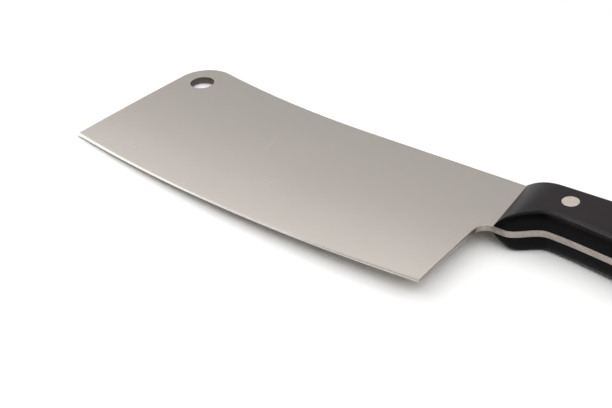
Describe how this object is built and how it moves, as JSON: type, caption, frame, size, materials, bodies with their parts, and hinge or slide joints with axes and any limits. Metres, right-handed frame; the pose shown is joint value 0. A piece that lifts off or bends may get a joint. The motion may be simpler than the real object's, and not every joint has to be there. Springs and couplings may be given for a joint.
{
  "type": "chopping knife",
  "caption": "Broad chopping knife with a flaring flat-ground steel blade, a hanging hole in the tip corner, a full tang and riveted black handle scales with a finger groove.",
  "frame": {"origin": "under the middle of the knife's box, on the plane that touches the lowest point of the lower handle scale", "axes": "+X along the knife from the tip to the butt, +Y from the cutting edge to the spine, +Z square to the blade's side"},
  "size_m": [0.3012, 0.0836, 0.018],
  "materials": {
    "blade_steel": "satin, finely ground along the blade's height, brighter on the sharpened edge",
    "handle_plastic": "moulded black acetal plastic, satin",
    "rivet_steel": "ground flush and polished with the handle"
  },
  "bodies": {
    "root": {"blade": "blade_steel", "scale_upper": "handle_plastic", "scale_lower": "handle_plastic", "rivet_front_sleeve": "rivet_steel", "rivet_front_pin": "rivet_steel", "rivet_middle_sleeve": "rivet_steel", "rivet_middle_pin": "rivet_steel", "rivet_rear_sleeve": "rivet_steel", "rivet_rear_pin": "rivet_steel"}
  },
  "joints": []
}
